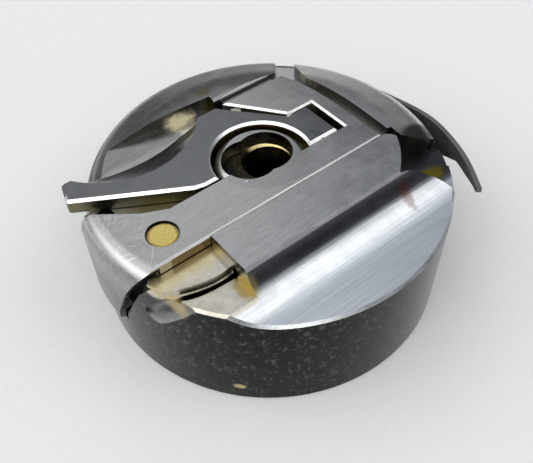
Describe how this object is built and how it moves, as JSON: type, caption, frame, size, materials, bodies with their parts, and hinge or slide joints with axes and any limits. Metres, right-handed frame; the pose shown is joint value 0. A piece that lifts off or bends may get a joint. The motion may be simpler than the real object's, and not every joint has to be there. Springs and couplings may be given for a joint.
{
  "type": "bobbin case",
  "caption": "Round steel bobbin case for a lockstitch sewing machine, with a sliding keyhole latch, a flip-up latch lever, a hollow centre post and a tension spring on its wall.",
  "frame": {"origin": "on the axis of the cylindrical case, in the plane of its open rim", "axes": "+Z out of the closed face, +X the way the latch slide travels when it is opened, +Y toward the side of the latch lever"},
  "size_m": [0.0232, 0.0224, 0.0094],
  "materials": {
    "case_steel": "turned and polished wall, brushed face",
    "post_steel": "turned",
    "slide_steel": "brushed along its length",
    "lever_steel": "brushed, polished thumb scoop",
    "pin_steel": "drawn wire",
    "stud_brass": "riveted over and polished",
    "coil_steel": "music wire",
    "leaf_steel": "polished spring leaf",
    "leaf_screw_steel": "turned, slotted",
    "tension_screw_steel": "turned, slotted"
  },
  "bodies": {
    "case": {"case_body": "case_steel", "centre_post": "post_steel", "tension_spring": "leaf_steel", "leaf_screw": "leaf_screw_steel", "latch_spring": "coil_steel"},
    "slide": {"latch_slide": "slide_steel", "guide_stud": "stud_brass", "lever_hinge_pin": "pin_steel"},
    "lever": {"latch_lever": "lever_steel"},
    "tension_screw": {"tension_screw": "tension_screw_steel"}
  },
  "joints": [
    {"name": "slide_travel", "type": "slide", "parent": "case", "child": "slide", "axis": [1, 0, 0], "range_m": [0, 0.0006], "stiffness_N_per_m": 100, "springref_m": -0.0003, "deforming": ["latch_spring"]},
    {"name": "lever_lift", "type": "hinge", "parent": "slide", "child": "lever", "pos_m": [0.00315, 0.0002, 0.00895], "axis": [0, 1, 0], "range_deg": [0, 90]},
    {"name": "tension_screw_turn", "type": "hinge", "parent": "case", "child": "tension_screw", "pos_m": [0.00912, 0.00615, 0.0044], "axis": [0.829, 0.5592, 0], "range_deg": [-180, 180]}
  ],
  "couplings": [
    {"joint": "lever_lift", "follows": "slide_travel", "rad_per_m": 2618}
  ]
}
